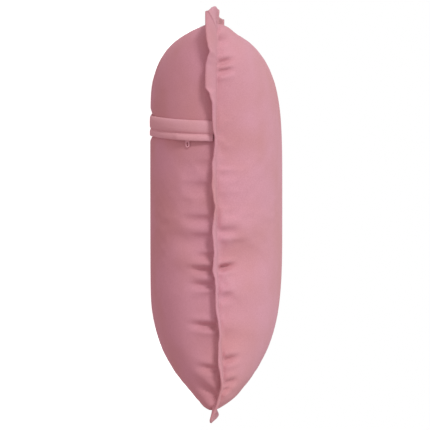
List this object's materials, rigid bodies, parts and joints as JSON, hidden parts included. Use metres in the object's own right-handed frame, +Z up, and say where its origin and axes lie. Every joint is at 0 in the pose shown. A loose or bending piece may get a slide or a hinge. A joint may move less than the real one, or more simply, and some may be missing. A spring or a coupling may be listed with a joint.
{
  "type": "back cushion",
  "caption": "Square plush back cushion, softly filled, with a wavy self flange all round and a zip hidden under a stitched flap across the back panel.",
  "frame": {"origin": "middle of the footprint, on the surface that the cushion lies on", "axes": "+Z up from the back panel to the front panel's crown, +Y towards the cushion's top edge, X across it; the pictured edge is at -X"},
  "size_m": [0.56, 0.5604, 0.182],
  "materials": {
    "fabric": "short plush pile, dusty rose",
    "pull": "satin enamel, dusty rose"
  },
  "bodies": {
    "root": {"cushion": "fabric", "zip_flap": "fabric", "zip_pull": "pull"}
  },
  "joints": []
}
